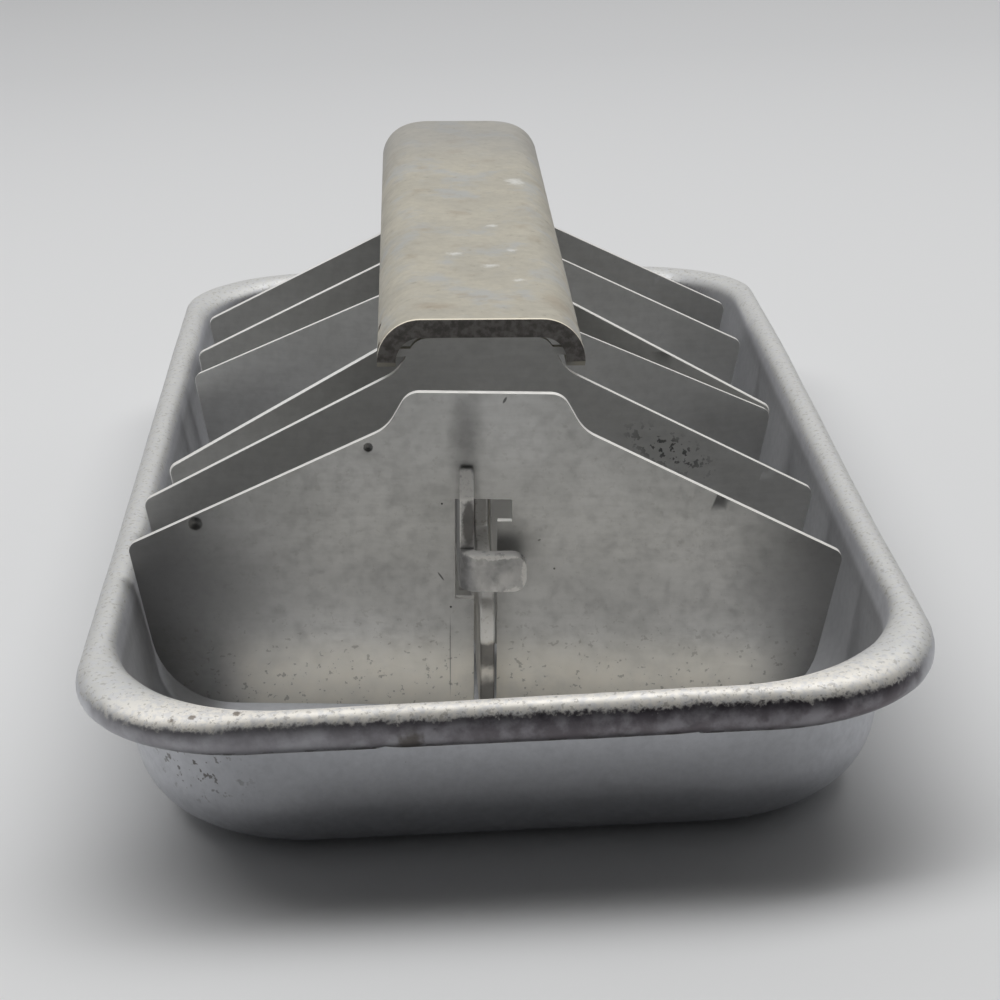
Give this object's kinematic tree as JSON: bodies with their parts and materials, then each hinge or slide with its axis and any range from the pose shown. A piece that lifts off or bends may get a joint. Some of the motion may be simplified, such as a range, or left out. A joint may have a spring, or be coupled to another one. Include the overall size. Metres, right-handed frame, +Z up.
{
  "type": "ice_cube_tray",
  "caption": "Old aluminium ice cube tray: drawn pan with a rolled rim, a loose grid of bell-shaped divider plates on long bars, and a channel lever that frees the ice",
  "frame": {"origin": "centre of the tray's bounding box on the flat base, at Z 0", "axes": "+Y along the tray, from the uncovered first plate towards the closed end of the lever, +X to the right seen from the first plate, +Z up"},
  "size_m": [0.12, 0.23, 0.0591],
  "materials": {
    "pan_aluminium": "satin, drawn sheet, dulled and pitted by use",
    "plate_aluminium": "satin rolled sheet with bright cut edges",
    "bar_aluminium": "rolled strip, mottled",
    "lever_aluminium": "satin with a warm patina and scuffs",
    "rivet_aluminium": "peened, dull"
  },
  "bodies": {
    "pan": {"tray_pan": "pan_aluminium"},
    "grid": {"lower_bar": "bar_aluminium", "cross_plate_2": "plate_aluminium"},
    "slide": {"slide_bar": "bar_aluminium"},
    "lever": {"lever_handle": "lever_aluminium", "lever_cam": "bar_aluminium", "cam_rivet": "rivet_aluminium"},
    "plate_1": {"cross_plate_1": "plate_aluminium"},
    "plate_3": {"cross_plate_3": "plate_aluminium"},
    "plate_4": {"cross_plate_4": "plate_aluminium"},
    "plate_5": {"cross_plate_5": "plate_aluminium"},
    "plate_6": {"cross_plate_6": "plate_aluminium"}
  },
  "joints": [
    {"name": "grid_lift", "type": "slide", "parent": "pan", "child": "grid", "axis": [0, 0, 1], "range_m": [0, 0.06]},
    {"name": "lever_pivot", "type": "hinge", "parent": "grid", "child": "lever", "pos_m": [-0.00082, -0.0406, 0.05291], "axis": [0.9993, 0, -0.0384], "range_deg": [0, 50]},
    {"name": "slide_travel", "type": "slide", "parent": "grid", "child": "slide", "axis": [0, 1, 0], "range_m": [0, 0.0041]},
    {"name": "plate_1_tilt", "type": "hinge", "parent": "grid", "child": "plate_1", "pos_m": [-0.00283, -0.0638, 0.00315], "axis": [-0.9976, 0.0576, 0.0383], "range_deg": [0, 6.4]},
    {"name": "plate_3_tilt", "type": "hinge", "parent": "grid", "child": "plate_3", "pos_m": [-0.00203, -0.0133, 0.00312], "axis": [-0.967, -0.2521, 0.0371], "range_deg": [0, 6.4]},
    {"name": "plate_4_tilt", "type": "hinge", "parent": "grid", "child": "plate_4", "pos_m": [-0.00163, 0.0125, 0.0031], "axis": [-0.9795, 0.1977, 0.0376], "range_deg": [0, 6.4]},
    {"name": "plate_5_tilt", "type": "hinge", "parent": "grid", "child": "plate_5", "pos_m": [-0.00183, 0.0392, 0.00311], "axis": [-0.9977, -0.0558, 0.0383], "range_deg": [0, 6.4]},
    {"name": "plate_6_tilt", "type": "hinge", "parent": "grid", "child": "plate_6", "pos_m": [-0.00163, 0.0629, 0.0031], "axis": [-0.9958, -0.0837, 0.0383], "range_deg": [0, 6.4]}
  ],
  "couplings": [
    {"joint": "slide_travel", "follows": "lever_pivot", "m_per_rad": 0.004698},
    {"joint": "plate_1_tilt", "follows": "lever_pivot", "ratio": 0.128},
    {"joint": "plate_3_tilt", "follows": "lever_pivot", "ratio": 0.128},
    {"joint": "plate_4_tilt", "follows": "lever_pivot", "ratio": 0.128},
    {"joint": "plate_5_tilt", "follows": "lever_pivot", "ratio": 0.128},
    {"joint": "plate_6_tilt", "follows": "lever_pivot", "ratio": 0.128}
  ]
}
